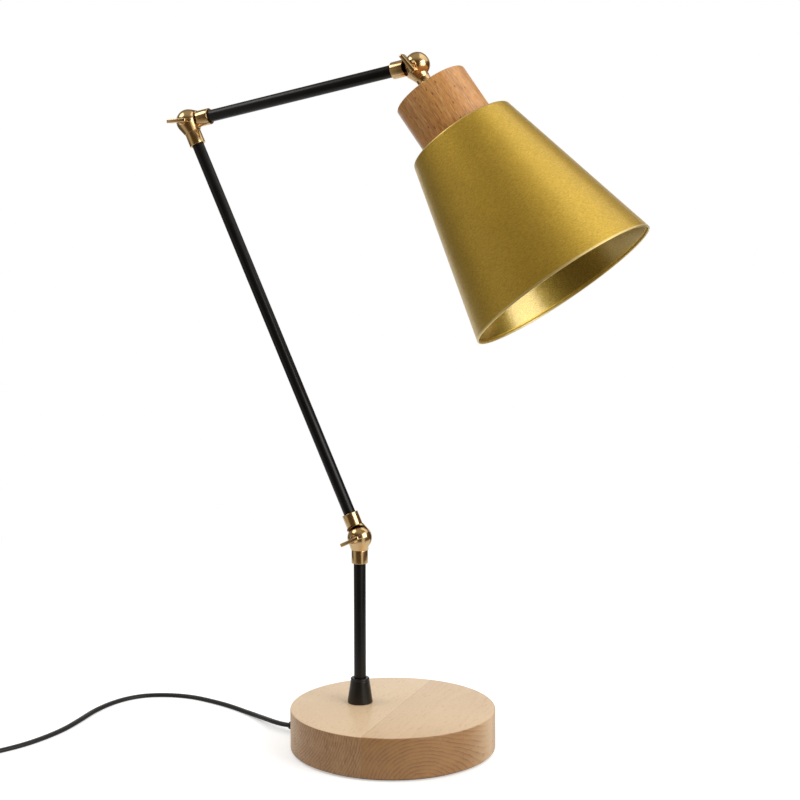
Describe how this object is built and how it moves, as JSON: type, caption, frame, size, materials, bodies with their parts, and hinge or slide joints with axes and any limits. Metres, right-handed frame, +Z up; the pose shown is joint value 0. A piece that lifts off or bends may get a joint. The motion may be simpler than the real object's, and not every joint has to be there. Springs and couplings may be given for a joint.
{
  "type": "desk lamp",
  "caption": "Desk lamp with a round wooden base, a stem, two tube arms with split-ball joints and wing screws, a wooden cap and a conical shade.",
  "frame": {"origin": "centre of the base pad's underside, on the surface the lamp stands on", "axes": "+Z up, +X from the stem towards the head, the arms swing in the XZ plane and the joints' axes lie along Y, with the wing screws on the side of -Y"},
  "size_m": [0.554, 0.407, 0.5684],
  "materials": {
    "beech": "clear lacquer, satin",
    "red_beech": "oiled, satin",
    "brass": "satin",
    "black_coat": "finely textured powder coat",
    "black_plastic": "satin",
    "gold_coat": "metallic paint, satin",
    "steel": "zinc plated",
    "foam": "matte",
    "ceramic": "unglazed",
    "opal_glass": "opal",
    "fibre": "matte",
    "cord": "satin"
  },
  "bodies": {
    "base": {"base_disc": "beech", "base_pad": "foam", "base_weight": "steel", "weight_screw_1": "steel", "weight_screw_2": "steel", "weight_screw_3": "steel", "stem_washer": "steel", "stem_nut": "steel", "stem_cone": "black_plastic", "stem_tube": "black_coat", "stem_lead": "cord", "cord_gland": "black_plastic", "cord_clamp": "steel", "clamp_screw_1": "steel", "clamp_screw_2": "steel", "inner_flex": "cord", "terminal_block": "ceramic", "lower_joint_front_half": "brass", "lower_joint_washer": "fibre", "cord_lead": "cord", "cord_middle": "cord", "cord_coil": "cord", "cord_tie": "black_plastic", "cord_tail": "cord", "plug_body": "black_plastic", "plug_pin_1": "brass", "plug_pin_2": "brass", "switch_base": "black_plastic", "switch_cover": "black_plastic", "switch_screw_1": "steel", "switch_screw_2": "steel"},
    "lower_arm": {"lower_joint_back_half": "brass", "lower_arm_tube": "black_coat", "lower_arm_lead": "cord", "middle_joint_front_half": "brass", "middle_joint_washer": "fibre"},
    "upper_arm": {"middle_joint_back_half": "brass", "upper_arm_tube": "black_coat", "upper_arm_lead": "cord", "upper_joint_back_half": "brass"},
    "head": {"upper_joint_front_half": "brass", "upper_joint_washer": "fibre", "head_lead": "cord", "neck_washer": "brass", "neck_nipple": "steel", "wooden_cap": "red_beech", "lampholder_cap": "black_plastic", "lampholder_shell": "black_plastic", "lampholder_insert": "ceramic", "contact_tongue": "brass", "screw_shell": "brass", "shade_ring": "black_plastic", "shade": "gold_coat", "bulb_tip": "steel", "bulb_cap": "steel", "bulb_glass": "opal_glass"},
    "lower_wing_screw": {"lower_joint_wing_screw": "brass"},
    "middle_wing_screw": {"middle_joint_wing_screw": "brass"},
    "upper_wing_screw": {"upper_joint_wing_screw": "brass"},
    "switch_rocker": {"switch_rocker": "black_plastic"}
  },
  "joints": [
    {"name": "lower_joint", "type": "hinge", "parent": "base", "child": "lower_arm", "pos_m": [-0.03, 0, 0.1752], "axis": [0, 1, 0], "range_deg": [-35, 85]},
    {"name": "middle_joint", "type": "hinge", "parent": "lower_arm", "child": "upper_arm", "pos_m": [-0.188, 0, 0.51761], "axis": [0, 1, 0], "range_deg": [-205, 0.5]},
    {"name": "upper_joint", "type": "hinge", "parent": "upper_arm", "child": "head", "pos_m": [0.02141, 0, 0.5582], "axis": [0, 1, 0], "range_deg": [-165, 18]},
    {"name": "lower_screw_turn", "type": "hinge", "parent": "base", "child": "lower_wing_screw", "pos_m": [-0.03, 0, 0.1752], "axis": [0, 1, 0], "range_deg": [-180, 0]},
    {"name": "middle_screw_turn", "type": "hinge", "parent": "lower_arm", "child": "middle_wing_screw", "pos_m": [-0.188, 0, 0.51761], "axis": [0, 1, 0], "range_deg": [-180, 0]},
    {"name": "upper_screw_turn", "type": "hinge", "parent": "head", "child": "upper_wing_screw", "pos_m": [0.02141, 0, 0.5582], "axis": [0, 1, 0], "range_deg": [-180, 0]},
    {"name": "rocker_tip", "type": "hinge", "parent": "base", "child": "switch_rocker", "pos_m": [-0.32027, -0.19498, 0.0167], "axis": [0.8619, -0.507, 0], "range_deg": [-7, 0]}
  ]
}
